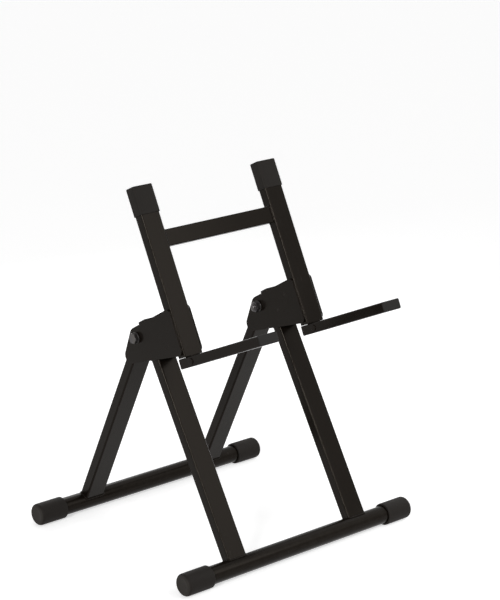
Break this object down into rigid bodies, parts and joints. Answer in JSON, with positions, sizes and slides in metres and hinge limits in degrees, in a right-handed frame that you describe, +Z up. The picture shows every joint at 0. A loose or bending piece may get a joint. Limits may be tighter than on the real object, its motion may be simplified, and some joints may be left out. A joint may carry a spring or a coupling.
{
  "type": "folding amplifier stand",
  "caption": "Folding floor stand: tube A-frame on two round rails, carrying a leaning cradle of back uprights with fold-up support arms.",
  "frame": {"origin": "on the floor below the middle of the stand: centre of its footprint in X and Y, floor plane in Z", "axes": "+X to the right seen from the front, the front with the support arms faces -Y, +Z up"},
  "size_m": [0.526, 0.5118, 0.6436],
  "materials": {
    "black_steel": "satin powder coat",
    "black_rubber": "matte moulded rubber",
    "black_plastic": "matte",
    "black_zinc": "black zinc plated",
    "plain_steel": "plain turned steel"
  },
  "bodies": {
    "front_frame": {"front_rail": "black_steel", "front_rail_cap_left": "black_rubber", "front_rail_cap_right": "black_rubber", "front_leg_left": "black_steel", "front_leg_right": "black_steel", "front_leg_plug_left": "black_plastic", "front_leg_plug_right": "black_plastic", "head_bracket_left": "black_steel", "head_bracket_right": "black_steel", "back_upright_left": "black_steel", "back_upright_right": "black_steel", "back_crossbar": "black_steel", "upright_cap_left": "black_rubber", "upright_cap_right": "black_rubber", "arm_hinge_lug_left": "black_steel", "arm_hinge_lug_right": "black_steel", "pivot_bolt_left": "black_zinc", "pivot_bolt_right": "black_zinc", "pivot_nut_left": "black_zinc", "pivot_nut_right": "black_zinc", "pivot_washer_outer_left": "black_zinc", "pivot_washer_outer_right": "black_zinc", "pivot_washer_inner_left": "black_zinc", "pivot_washer_inner_right": "black_zinc"},
    "rear_frame": {"rear_rail": "black_steel", "rear_rail_cap_left": "black_rubber", "rear_rail_cap_right": "black_rubber", "rear_leg_left": "black_steel", "rear_leg_right": "black_steel", "pivot_bush_left": "plain_steel", "pivot_bush_right": "plain_steel"},
    "arm_l": {"arm_left": "black_steel", "arm_plug_left": "black_plastic", "arm_pin_left": "black_steel", "arm_spacer_outer_left": "plain_steel", "arm_spacer_inner_left": "plain_steel"},
    "arm_r": {"arm_right": "black_steel", "arm_plug_right": "black_plastic", "arm_pin_right": "black_steel", "arm_spacer_outer_right": "plain_steel", "arm_spacer_inner_right": "plain_steel"}
  },
  "joints": [
    {"name": "rear_frame_fold", "type": "hinge", "parent": "front_frame", "child": "rear_frame", "pos_m": [0, 0.06372, 0.37625], "axis": [-1, 0, 0], "range_deg": [0, 55.8]},
    {"name": "arm_left_fold", "type": "hinge", "parent": "front_frame", "child": "arm_l", "pos_m": [-0.141, -0.07909, 0.36791], "axis": [-1, 0, 0], "range_deg": [0, 92.3]},
    {"name": "arm_right_fold", "type": "hinge", "parent": "front_frame", "child": "arm_r", "pos_m": [0.141, -0.07909, 0.36791], "axis": [-1, 0, 0], "range_deg": [0, 92.3]}
  ]
}
